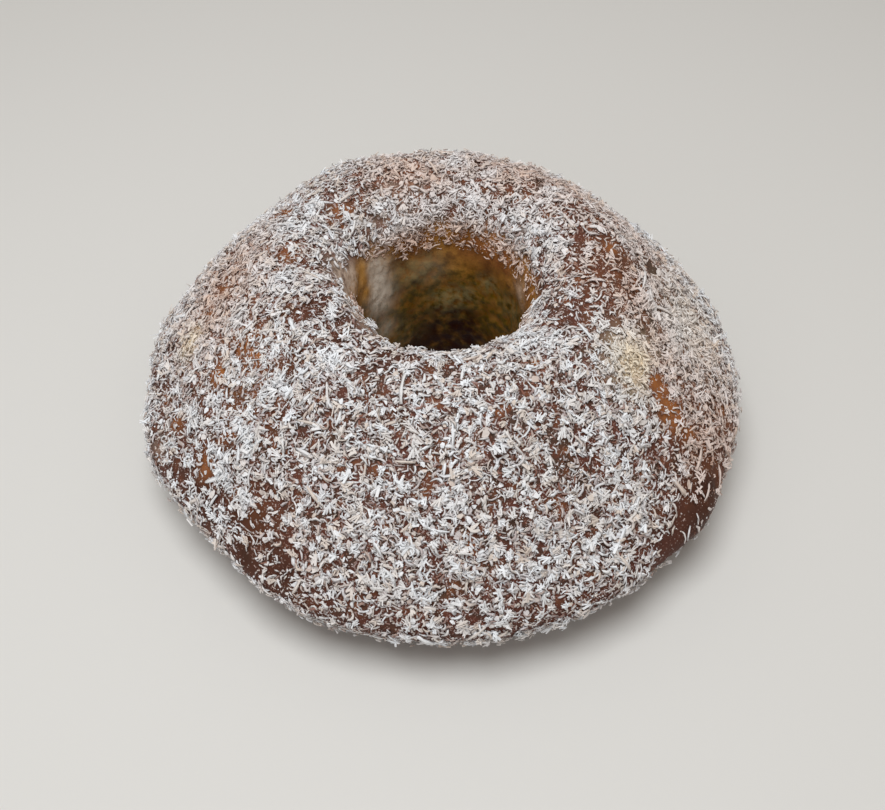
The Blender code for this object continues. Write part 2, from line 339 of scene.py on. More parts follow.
class RingSettings(bpy.types.PropertyGroup):
    """Sizes and colours of the baked ring."""

    outer_radius: length("Outer radius", "Widest radius of the ring", 0.0930)
    widest_height: length("Widest height", "Height at which the ring is widest", 0.0238)
    crest_radius: length("Crest radius", "Radius of the ring's crest", 0.0472)
    crest_height: length("Crest height", "Height of the crest", 0.0690)
    hole_radius: length("Hole radius", "Narrowest radius of the hole", 0.0256)
    narrowest_height: length("Narrowest height", "Height at which the hole is narrowest", 0.0353)
    base_outer_radius: length("Base outer radius", "Outer edge of the flat base", 0.0745)
    base_inner_radius: length("Base inner radius", "Inner edge of the flat base", 0.0266)
    hole_shift: length("Hole shift", "How far the hole lies behind the middle", 0.0016)
    dome_fullness: share("Dome fullness", "1 is a straight slope, 2 an ellipse", 1.2)
    flank_fullness: share("Flank fullness", "Fullness of the lower side", 1.6)
    tube_fullness: share("Tube fullness", "Fullness of the hole's lower wall", 1.7)
    rim_fullness: share("Rim fullness", "Fullness of the hole's rim", 3.6)
    section_points: IntProperty(name="Section points", description="Points round the section", default=220)
    turn_steps: IntProperty(name="Turn steps", description="Steps round the axis", default=440)
    blister_size: length("Blister size", "Width of the crust's low blisters", 0.0060)
    blister_depth: length("Blister depth", "Height of the blisters", 0.00035)
    pore_size: length("Pore size", "Width of the crust's pores", 0.0022)
    pore_depth: length("Pore depth", "Depth of the pores", 0.00022)
    brown: colour("Brown", "Baked crust", "603A30")
    # Painted shade as well: this colour also darkens the lower flanks, which get less light.
    dark_brown_and_shade: colour("Dark brown", "Darkest baked crust", "462C22")
    # Painted shade: a dull greyish brown laid in blots under the coat for the shadows between the pieces
    # of coconut.
    shaded: colour("Shaded brown", "Dull, sunken stretches of the crust", "4C3A30")
    golden: colour("Golden", "Lightly baked crust", "9C6238")
    meal_light: colour("Light meal", "Lightest coconut meal on the crust", "D2C4BC")
    meal_cream: colour("Cream meal", "Buttery coconut meal where the crust is mealy", "F4E2C0")
    meal_brown: colour("Brown meal", "Coconut meal that the glaze has browned", "805444")
    wall_top: colour("Wall top", "Skin of the hole's wall near the rim", "B2803A")
    # Painted shade: the darker colours half way down the hole's wall and at its foot, where the hole
    # shades it.
    wall_middle_shaded: colour("Wall middle", "Skin of the wall half way down", "7E5206")
    wall_foot_shade: colour("Wall foot", "Moist skin at the wall's foot", "2C0A00")
    wall_mottle: colour("Wall mottle", "Greenish mottling of the wall", "6E5C0E")
    # Painted light: a near white that keeps pale stretches of the hole's wall light in its shade.
    wall_pale_lit: colour("Wall pale", "Pale, veiled stretches of the wall", "FFF4E4")
    wall_dull: colour("Wall dull", "Greyish tan skin where the coat ends", "E2CCB8")
    wall_amber: colour("Wall amber", "Sugary streak down the wall", "DCA65A")
    # Painted haze: a greyish reflection on the hole's wall.
    wall_painted_haze: colour("Wall veil", "Greyish film on the wall", "A89E72")


class CoatSettings(bpy.types.PropertyGroup):
    """How the coconut is spread and what it looks like."""

    spread: share("Spread", "Pieces for each usual one, over the whole coat", 1.0)
    clump_size: length("Clump size", "Width of the clumps that the coconut sticks in", 0.0030)
    bed_size: length("Bed size", "Width of the thicker and thinner stretches", 0.0130)
    fresh: colour("Fresh", "Dry white coconut", "F3F5F8")
    cream: colour("Cream", "Creamy coconut", "E0D2C6")
    soaked: colour("Soaked", "Coconut that has taken up the glaze", "8A5C4C")
    rosy: colour("Rosy", "Coconut with a film of glaze", "D8B49E")
    # Painted reflection and painted light: the hole's orange wall reflected in the coconut at its rim,
    # lightening it in the hole's shade.
    glazed: colour("Glazed", "Coconut that the hole's wall has stained", "E4BA9E")
    buttery: colour("Buttery", "Coconut that lies on mealy crust", "F4E2C2")


class StageSettings(bpy.types.PropertyGroup):
    """Floor and light."""

    floor: colour("Floor", "Plain pale floor", "DFDDD9")
    key_power: FloatProperty(name="Key light", description="Power of the large soft light", default=5.1)
    fill_power: FloatProperty(name="Fill light", description="Power of the side light", default=0.7)
    sky: FloatProperty(name="Sky", description="Strength of the light from all round", default=0.34)


def add(tree, kind, sockets=None, output=0, **settings):
    """Adds a node with its settings and gives back one of its outputs. Of its sockets, those
    given another node's output are linked and the others are set."""
    node = tree.nodes.new(kind)
    for name, value in settings.items():
        setattr(node, name, value)
    for place, value in (sockets or {}).items():
        if isinstance(value, bpy.types.NodeSocket):
            tree.links.new(value, node.inputs[place])
        else:
            node.inputs[place].default_value = value
    return node.outputs[output] if node.outputs else None


def new_object(name, data):
    """Puts an object with the given mesh, light or camera in the scene."""
    thing = bpy.data.objects.new(name, data)
    bpy.context.scene.collection.objects.link(thing)
    return thing


def made_plain(thing):
    """Turns the object's evaluated shape into its own plain mesh."""
    graph = bpy.context.evaluated_depsgraph_get()
    mesh = bpy.data.meshes.new_from_object(thing.evaluated_get(graph))
    thing.modifiers.clear()
    old = thing.data
    thing.data = mesh
    bpy.data.meshes.remove(old)
    return mesh


def set_inputs(modifier, values):
    """Sets a Geometry Nodes modifier's inputs: found by name, set by identifier."""
    for item in modifier.node_group.interface.items_tree:
        if item.item_type == "SOCKET" and item.in_out == "INPUT" and item.name in values:
            modifier[item.identifier] = values[item.name]


def new_tree(name, inputs):
    """A Geometry Nodes tree with a geometry input, the named inputs, each with its kind of
    value, and a geometry output. Gives back the tree and its inputs."""
    tree = bpy.data.node_groups.new(name, "GeometryNodeTree")
    tree.interface.new_socket("Geometry", in_out="INPUT", socket_type="NodeSocketGeometry")
    for label, kind in inputs.items():
        tree.interface.new_socket(label, in_out="INPUT", socket_type=f"NodeSocket{kind}")
    tree.interface.new_socket("Geometry", in_out="OUTPUT", socket_type="NodeSocketGeometry")
    return tree, add(tree, "NodeGroupInput").node.outputs


def ring_place(azimuth, radius, height):
    """A point given by azimuth in degrees, and radius and height in millimetres."""
    turn = math.radians(azimuth)
    return np.array((radius * math.cos(turn), radius * math.sin(turn), height)) * MM


def patch_sum(points, patches):
    """The patches' amounts at each point, each fading with distance from its middle."""
    total = np.zeros(len(points))
    for azimuth, radius, height, reach, amount in patches:
        distance = np.linalg.norm(points - ring_place(azimuth, radius, height), axis=1)
        total += amount * np.exp(-((distance / (reach * MM)) ** 2))
    return total


def spot_sum(points, name):
    """What the spots add to one mark at each point."""
    total = np.zeros(len(points))
    for changes, spots in SPOTS:
        if name in changes:
            total += patch_sum(points, [(*spot, changes[name]) for spot in spots])
    return total


def smooth_step(low, high, values):
    """Rises softly from 0 at the low value to 1 at the high one."""
    ramp = np.clip((values - low) / (high - low), 0.0, 1.0)
    return ramp * ramp * (3 - 2 * ramp)


def quarter(crown, side, fullness, steps=60):
    """A superellipse quarter from its level end, the crown, to its upright end, the side."""
    turn = np.linspace(0.0, math.pi / 2, steps)
    across = np.sin(turn) ** (2 / fullness)
    down = 1.0 - np.cos(turn) ** (2 / fullness)
    radius = crown[0] + (side[0] - crown[0]) * across
    height = crown[1] + (side[1] - crown[1]) * down
    return np.column_stack((radius, height))


def read_loop(loop, count):
    """The closed loop read again at evenly spaced points."""
    closed = np.vstack((loop, loop[:1]))
    run = np.concatenate(([0.0], np.cumsum(np.linalg.norm(np.diff(closed, axis=0), axis=1))))
    stops = np.linspace(0.0, run[-1], count, endpoint=False)
    return np.column_stack([np.interp(stops, run, closed[:, axis]) for axis in (0, 1)])


def ring_section(size, fine_step=0.001, rounding_passes=16):
    """The ring's section as (radius, height): crest, dome, flank, flat base, hole wall, rim."""
    crest = (size.crest_radius, size.crest_height)
    widest = (size.outer_radius, size.widest_height)
    narrowest = (size.hole_radius, size.narrowest_height)
    dome = quarter(crest, widest, size.dome_fullness)
    flank = quarter((size.base_outer_radius, 0.0), widest, size.flank_fullness)[::-1]
    tube = quarter((size.base_inner_radius, 0.0), narrowest, size.tube_fullness)
    rim = quarter(crest, narrowest, size.rim_fullness)[::-1]
    loop = np.vstack((dome[:-1], flank, tube[:-1], rim[:-1]))
    run = np.linalg.norm(np.diff(loop, axis=0), axis=1).sum()
    loop = read_loop(loop, round(run / fine_step))
    off_base = loop[:, 1] > fine_step / 10
    for _ in range(rounding_passes):
        softer = (np.roll(loop, 1, axis=0) + 2 * loop + np.roll(loop, -1, axis=0)) / 4
        loop[off_base] = softer[off_base]
    return read_loop(loop, size.section_points)


def turned_ring(size, merge_distance=0.00001):
    """The section turned round the axis, as an object with a plain mesh."""
    corners = [(radius, 0.0, height) for radius, height in ring_section(size)]
    edges = [(index, (index + 1) % len(corners)) for index in range(len(corners))]
    profile = bpy.data.meshes.new("ring_profile")
    profile.from_pydata(corners, edges, [])
    ring = new_object(CRUST, profile)
    screw = ring.modifiers.new("turn", "SCREW")
    screw.axis = "Z"
    screw.steps = size.turn_steps
    screw.render_steps = size.turn_steps
    screw.use_merge_vertices = True
    screw.merge_threshold = merge_distance
    made_plain(ring)
    return ring


def vertex_values(mesh, attribute):
    """The mesh's points ("co") or its normals at them ("vector"), one to a row."""
    values = np.zeros(len(mesh.vertices) * 3)
    source = mesh.vertices if attribute == "co" else mesh.vertex_normals
    source.foreach_get(attribute, values)
    return values.reshape(-1, 3)


def shape_ring(mesh, size):
    """Moves the turned ring's points to the crust's real, uneven form."""
    points = vertex_values(mesh, "co")
    normals = vertex_values(mesh, "vector")
    rise = patch_sum(points, SWELLS + FOLD) * MM
    for wavelength, depth in (BROAD_WAVE, SMALL_WAVE):
        waves = [noise.noise(Vector(point) / wavelength) for point in points]
        rise += depth / NOISE_REACH * np.array(waves)
    rise *= smooth_step(0.0, CALM_HEIGHT, points[:, 2])
    inward = size.outer_radius - np.hypot(points[:, 0], points[:, 1])
    points += normals * rise[:, None]
    points[:, 1] += size.hole_shift * inward / (size.outer_radius - size.hole_radius)
    mesh.vertices.foreach_set("co", points.ravel())
    mesh.update()


def mark_ring(mesh):
    """Stores on the crust how thick its coat is, where tufts stand out of it, the tints and
    where the hole's wall is."""
    points = vertex_values(mesh, "co")
    height = points[:, 2]
    in_hole = smooth_step(*HOLE_EDGE, np.hypot(points[:, 0], points[:, 1]))
    coat = 1.0 + patch_sum(points, COAT_PATCHES) + spot_sum(points, "coat")
    coat = np.maximum(coat, LEAST_COAT * (1.0 - in_hole))
    coat *= 1.0 - in_hole * smooth_step(*COAT_IN_HOLE, height)
    coat[coat < BARE_BELOW] = 0.0
    coat *= smooth_step(*COAT_ABOVE_BASE, height)
    coat *= COAT_LOW_DOWN + (1 - COAT_LOW_DOWN) * smooth_step(*COAT_DOWN_SIDE, height)
    marks = {"coat": np.clip(coat, 0.0, MOST_COAT), "calm": smooth_step(*RELIEF_ABOVE_BASE, height)}
    marks["meal"] = np.maximum(marks["coat"], LEAST_MEAL * (1 - in_hole) * marks["calm"])
    peaks = patch_sum(points, PEAKS) + PEAKS_ON_SIDES * smooth_step(*PEAKS_END, height)
    marks["peaks"] = np.clip(peaks, 0.0, 1.0) * marks["coat"] * (1.0 - in_hole)
    for name, (begins, full) in WALL_MARKS.items():
        marks[name] = in_hole * smooth_step(begins, full, height)
    for name, patches in TINT_PATCHES.items():
        marks[name] = np.clip(patch_sum(points, patches) + spot_sum(points, name), 0.0, 1.0)
    for name, values in marks.items():
        attribute = mesh.attributes.new(name, "FLOAT", "POINT")
        attribute.data.foreach_set("value", values.astype(np.float32))


def relief_tree():
    """Raises low blisters and sinks pores in the crust, none of them on the flat base."""
    tree, given = new_tree("crust_relief", dict.fromkeys(RELIEF_INPUTS, "Float"))
    place = add(tree, "GeometryNodeInputPosition")
    normal = add(tree, "GeometryNodeInputNormal")
    rise = 0.0
    for pattern in ("Blister", "Pore"):
        scale = add(tree, "ShaderNodeMath", {0: 1.0, 1: given[f"{pattern} Size"]}, operation="DIVIDE")
        waves = add(tree, "ShaderNodeTexNoise", {"Vector": place, "Scale": scale, "Detail": 1.0})
        span = {"To Min": -1 / NOISE_REACH, "To Max": 1 / NOISE_REACH}
        level = add(tree, "ShaderNodeMapRange", {"Value": waves, **span})
        terms = {0: level, 1: given[f"{pattern} Depth"], 2: rise}
        rise = add(tree, "ShaderNodeMath", terms, operation="MULTIPLY_ADD")
    calm = add(tree, "GeometryNodeInputNamedAttribute", {"Name": "calm"}, data_type="FLOAT")
    held = add(tree, "ShaderNodeMath", {0: rise, 1: calm}, operation="MULTIPLY")
    move = add(tree, "ShaderNodeVectorMath", {0: normal, "Scale": held}, operation="SCALE")
    moved = add(tree, "GeometryNodeSetPosition", {"Geometry": given[0], "Offset": move})
    add(tree, "NodeGroupOutput", {0: moved})
    return tree


def raise_relief(ring, size):
    """Gives the crust its fine relief, as part of its plain mesh."""
    relief = ring.modifiers.new("relief", "NODES")
    relief.node_group = relief_tree()
    set_inputs(relief, {label: getattr(size, name) for label, name in RELIEF_INPUTS.items()})
    made_plain(ring)


def new_material(name):
    """A material without nodes. Gives back the material and its node tree."""
    material = bpy.data.materials.new(name)
    material.use_nodes = True
    material.node_tree.nodes.clear()
    return material, material.node_tree


def laid_over(tree, under, over, amount, mark):
    """Lays one colour over another, by an amount times the surface's own mark."""
    held = add(tree, "ShaderNodeAttribute", output="Fac", attribute_name=mark)
    part = add(tree, "ShaderNodeMath", {0: amount, 1: held}, operation="MULTIPLY", use_clamp=True)
    sockets = {MIX_SHARE: part, MIX_FROM: under, MIX_TO: tuple(over)}
    return add(tree, "ShaderNodeMix", sockets, MIX_RESULT, data_type="RGBA")


def crust_material(look):
    """Glazed baked crust: brown where it baked longest and golden at bare spots. The coconut
    meal that sticks to its sugar glaze leaves it hardly any shine. Blots of painted shade lie under
    the coat, and painted shade darkens the lower flanks. The hole's wall is a thinner olive-gold
    skin, with painted shade that darkens it low down, and painted light and a painted haze on parts
    of it."""
    material, tree = new_material("glazed_baked_crust")
    place = add(tree, "ShaderNodeTexCoord", output="Object")

    # Each colour lies over the ones before it, in blots. After it come the blots' size in
    # millimetres, the noise at which they begin and are full, their strength and their mark.
    skin = tuple(look.brown)
    for tint, size_mm, begins, full, strength, mark in (
        (look.golden, 7.0, 0.50, 0.72, 0.6, "coat"),
        (look.golden, 3.0, 0.30, 0.62, 0.45, "rosy"),
        # Painted shade: dull greyish blots under the coat, for the shadows between the pieces.
        (look.shaded, 4.0, 0.44, 0.60, 0.9, "coat"),
        # Darker crust, partly painted shade on the lower flanks.
        (look.dark_brown_and_shade, 4.0, 0.00, 0.40, 1.0, "dark"),
        (look.wall_top, 3.0, 0.00, 0.10, 1.0, "wall"),
        # Painted shade: the darker middle of the hole's wall.
        (look.wall_middle_shaded, 5.0, 0.20, 0.60, 1.0, "wall_middle_shaded"),
        (look.wall_mottle, 3.0, 0.44, 0.58, 0.85, "wall_middle_shaded"),
        # Painted shade: the near-black foot colour in blots over the hole's wall, at its foot and low on
        # its far side.
        (look.wall_foot_shade, 3.0, 0.50, 0.66, 0.5, "wall"),
        (look.wall_foot_shade, 5.0, 0.10, 0.50, 1.0, "wall_foot_shade"),
        (look.wall_foot_shade, 5.0, 0.20, 0.55, 1.0, "foot_shade_and_spots"),
        # Painted light: near white stretches of the hole's wall.
        (look.wall_pale_lit, 2.4, 0.10, 0.50, 1.0, "pale"),
        # Painted haze on the hole's wall.
        (look.wall_painted_haze, 2.2, 0.36, 0.58, 0.7, "painted_haze"),
        (look.wall_dull, 2.4, 0.25, 0.55, 0.9, "dull"),
        (look.wall_amber, 3.0, 0.00, 0.20, 1.0, "amber"),
        (look.golden, 3.0, 0.10, 0.50, 1.0, "golden"),
        (look.meal_cream, 2.0, 0.20, 0.50, 1.0, "mealy"),
    ):
        scale = MM_PER_METRE / size_mm
        waves = add(tree, "ShaderNodeTexNoise", {"Vector": place, "Scale": scale, "Detail": 5.0})
        span = {"From Min": begins, "From Max": full, "To Max": strength}
        blots = add(tree, "ShaderNodeMapRange", {"Value": waves, **span})
        skin = laid_over(tree, skin, tint, blots, mark)

    # Coconut meal: grains, some of them missing, each with its own shade.
    scale = MM_PER_METRE / GRAIN_MM
    grains = add(tree, "ShaderNodeTexVoronoi", {"Vector": place, "Scale": scale})
    chance = add(tree, "ShaderNodeSeparateColor", {0: grains.node.outputs["Color"]})
    shades = {MIX_SHARE: chance, MIX_FROM: tuple(look.meal_brown), MIX_TO: tuple(look.meal_light)}
    meal = add(tree, "ShaderNodeMix", shades, MIX_RESULT, data_type="RGBA")
    held = add(tree, "ShaderNodeAttribute", output="Fac", attribute_name="meal")
    for value, (begins, full), strength in (
        (grains, GRAIN_EDGE, GRAIN_STRENGTH),
        (chance.node.outputs[1], GRAIN_DRAWN, 1.0),
    ):
        span = {"From Min": begins, "From Max": full, "To Max": strength}
        part = add(tree, "ShaderNodeMapRange", {"Value": value, **span})
        held = add(tree, "ShaderNodeMath", {0: held, 1: part}, operation="MULTIPLY", use_clamp=True)
    covered = {MIX_SHARE: held, MIX_FROM: skin, MIX_TO: meal}
    skin = add(tree, "ShaderNodeMix", covered, MIX_RESULT, data_type="RGBA")

    rough = add(tree, "ShaderNodeTexNoise", {"Vector": place, "Scale": scale, "Detail": 3.0})
    height = add(tree, "ShaderNodeMath", {0: held, 1: rough}, operation="ADD")
    fine = add(tree, "ShaderNodeBump", {"Height": height, "Distance": GRAIN_RELIEF, "Strength": 1.0})
    shader = add(
        tree,
        "ShaderNodeBsdfPrincipled",
        {
            "Base Color": skin,
            "Normal": fine,
            "Roughness": 0.5,
            "Specular IOR Level": 0.06,
        },
    )
    add(tree, "ShaderNodeOutputMaterial", {"Surface": shader})
    return material


def coconut_material(look):
    """Desiccated coconut: matt white flesh, creamier here and there, buttery on mealy crust and
    stained where a shred has taken up the glaze. At the hole's rim it carries painted light: whiter
    where the rim shades it, with the orange wall's painted reflection."""
    material, tree = new_material("desiccated_coconut")
    flesh = tuple(look.fresh)
    for tint, mark, strength in (
        (look.cream, "tone", 1.0),
        (look.soaked, "soak", 1.0),
        (look.rosy, "rosy", 0.6),
        # Whiter where dry, and as painted light where the hole's rim shades the coat.
        (look.fresh, "dry_and_lit", 0.6),
        (look.buttery, "mealy", 0.8),
        # Painted reflection of the hole's orange wall, which also lightens the coconut in the hole's
        # shade.
        (look.glazed, "wall", 0.6),
    ):
        flesh = laid_over(tree, flesh, tint, strength, mark)
    shader = add(
        tree,
        "ShaderNodeBsdfPrincipled",
        {
            "Base Color": flesh,
            "Roughness": 0.65,
            "Specular IOR Level": 0.3,
            "Sheen Weight": 0.25,
            "Sheen Roughness": 0.5,
        },
    )
    add(tree, "ShaderNodeOutputMaterial", {"Surface": shader})
    return material


class Kind(NamedTuple):
    """One kind of coconut piece; sizes in millimetres, angles in degrees."""

    density: float  # pieces for each square centimetre where the coat is thick
    reach: tuple  # shortest and longest piece
    width: float
    thickness: float
    stations: int  # sections along the piece, or 1 for an angular crumb
    curl: float  # how far each half bends sideways
    twist: float  # how far each half twists
    tilt: float  # how far pieces stand up from the crust
    layer: tuple  # lowest and highest lie above the crust
    soak: float  # how much glaze they take up; above 1, most are soaked through
    between: float  # how many lie between the clumps, as a share of those in them
    smooth: bool  # softly rounded, or with its broken faces sharp
    seed: int
    strands: int = 1  # shreds that stick together as one piece
    mark: str = "coat"  # the crust's mark that they follow


KINDS = {
    "meal": Kind(105, (0.4, 0.8), 0.48, 0.34, 1, 0, 0, 50, (-0.05, 0.1), 1.8, 0.8, False, 43),
    "crumbs": Kind(80, (0.7, 1.3), 0.66, 0.48, 1, 0, 0, 50, (-0.05, 0.20), 1.2, 0.5, False, 3),
    "short_shreds": Kind(48, (1.0, 1.9), 0.72, 0.46, 2, 0, 40, 26, (0.0, 0.45), 1.0, 0.5, False, 7),
    "shreds": Kind(44, (1.7, 2.8), 0.70, 0.46, 3, 90, 40, 24, (0.1, 0.8), 0.8, 0.35, True, 13),
    "wavy_shreds": Kind(13, (2.2, 3.4), 0.72, 0.46, 4, 120, 50, 26, (0.2, 1.0), 0.5, 0.3, True, 17),
    "long_shreds": Kind(2.5, (3.2, 4.6), 0.70, 0.44, 4, 60, 50, 14, (0.3, 1.0), 0.3, 0.3, True, 19),
    "curled_shreds": Kind(10, (2.2, 3.4), 0.70, 0.46, 5, 140, 60, 36, (0.2, 1.0), 0.3, 0.3, True, 23),
    "strands": Kind(1.0, (4.8, 8.0), 1.15, 0.62, 7, 35, 40, 8, (0.3, 0.9), 0.05, 0.3, True, 37),
    "flakes": Kind(16, (1.3, 2.2), 1.30, 0.46, 3, 15, 25, 24, (0.1, 0.7), 0.3, 0.1, False, 29),
    "tufts": Kind(9, (1.4, 2.6), 0.80, 0.50, 2, 0, 40, 26, (0.1, 0.7), 0.0, 0.02, False, 31, 8),
    "peaks": Kind(
        14, (2.6, 3.8), 0.80, 0.52, 3, 20, 40, 65, (0.3, 1.0), 0.0, 0.4, False, 41, 5, "peaks"
    ),
}
VARIANTS = 9

# How pieces of one kind differ, as the lowest and highest of each draw. As shares of its usual
# size: how stout a piece is, how uneven along its length, and how long as one of a cluster. As
# shares of its reach: how far its ends sag, and how far from the middle a cluster's parts lie.
# Then how much thinner its ends are, and how far a cluster's parts lean, in radians.
STOUTNESS = (0.8, 1.3)
UNEVENNESS = (0.75, 1.25)
PART_REACH = (0.8, 1.2)
SAG = (0.0, 0.12)
PART_ASIDE = (-0.3, 0.3)
TAPER = (0.1, 0.75)
PART_LEAN = (-0.3, 0.3)

# How high each part of a cluster lies above the one before it, in millimetres, and the bend in
# radians below which a strand is made straight.
PART_RISE = 0.15
STRAIGHT_BELOW = 0.05

# How much each laid piece is stretched along its length, width and height.
LEAST_STRETCH = (0.8, 0.75, 0.75)
MOST_STRETCH = (1.25, 1.3, 1.3)

# How evenly pieces lie: points are tried at this many times the density, and one is left out
# where it is nearer to another than this share of the usual spacing.
EVEN_TRIES = 3.5
EVEN_SPACING = 0.56

# How the clumps and the beds change the coat: for each, the noise at which it begins and is
# full, then the amounts outside and inside: of the coat, of its depth and of its stains.
CLUMP_NOISE = (0.42, 0.58)
BED_NOISE = (0.32, 0.68)
COAT_BY_BED = (0.55, 1.0)
DEPTH_BY_CLUMP = (0.5, 1.5)
SOAK_BY_CLUMP = (1.3, 0.15)


def add_crumb(cluster, rng, reach, kind):
    """An angular crumb with four faces, no two alike. Gives back its corners."""
    made = bmesh.ops.create_cone(
        cluster,
        cap_ends=True,
        segments=3,
        radius1=kind.width * MM / 2,
        radius2=0.0,
        depth=kind.thickness * MM,
    )
    for corner in made["verts"]:
        corner.co *= rng.uniform(*STOUTNESS)
        corner.co.x *= reach / (kind.width * MM)
    return made["verts"]


def add_strand(cluster, rng, reach, kind):
    """A closed, three-sided strand along X: bent, twisted and tapered to both ends. Gives back
    its corners."""
    bend = math.radians(rng.uniform(-kind.curl, kind.curl))
    turn = math.radians(rng.uniform(-kind.twist, kind.twist))
    sag = rng.uniform(*SAG) * reach
    taper = rng.uniform(*TAPER)
    stout = rng.uniform(*STOUTNESS)
    rings = []
    for step in range(kind.stations):
        along = 2 * step / (kind.stations - 1) - 1
        angle = bend * along
        straight = abs(bend) < STRAIGHT_BELOW
        run = along if straight else math.sin(angle) / bend
        aside = 0.0 if straight else (1 - math.cos(angle)) / bend
        middle = Vector((reach / 2 * run, reach / 2 * aside, -sag * along * along))
        side = Vector((-math.sin(angle), math.cos(angle), 0.0))
        up = Vector((0.0, 0.0, 1.0))
        slim = stout * (1.0 - taper * along * along) * rng.uniform(*UNEVENNESS) * MM / 2
        ring = []
        for corner in range(3):
            around = turn * along + corner * math.tau / 3
            reach_out = side * math.cos(around) * kind.width + up * math.sin(around) * kind.thickness
            ring.append(cluster.verts.new(middle + reach_out * slim))
        rings.append(ring)
    for first, second in zip(rings, rings[1:]):
        for index in range(3):
            after = (index + 1) % 3
            cluster.faces.new((first[index], first[after], second[after], second[index]))
    cluster.faces.new(rings[0][::-1])
    cluster.faces.new(rings[-1])
    return [corner for ring in rings for corner in ring]


def piece_mesh(name, rng, reach, kind):
    """One coconut piece: a crumb, a strand, or several strands that lie across one another."""
    cluster = bmesh.new()
    add_part = add_crumb if kind.stations == 1 else add_strand
    for strand in range(kind.strands):
        corners = add_part(cluster, rng, reach * rng.uniform(*PART_REACH), kind)
        if strand:
            spin = Matrix.Rotation(rng.uniform(0, math.tau), 4, "Z")
            lean = Matrix.Rotation(rng.uniform(*PART_LEAN), 4, "Y")
            aside_x = rng.uniform(*PART_ASIDE) * reach
            aside_y = rng.uniform(*PART_ASIDE) * reach
            move = Matrix.Translation((aside_x, aside_y, PART_RISE * MM * strand))
            bmesh.ops.transform(cluster, matrix=move @ spin @ lean, verts=corners)
    bmesh.ops.recalc_face_normals(cluster, faces=cluster.faces)
    mesh = bpy.data.meshes.new(name)
    cluster.to_mesh(mesh)
    cluster.free()
    return mesh


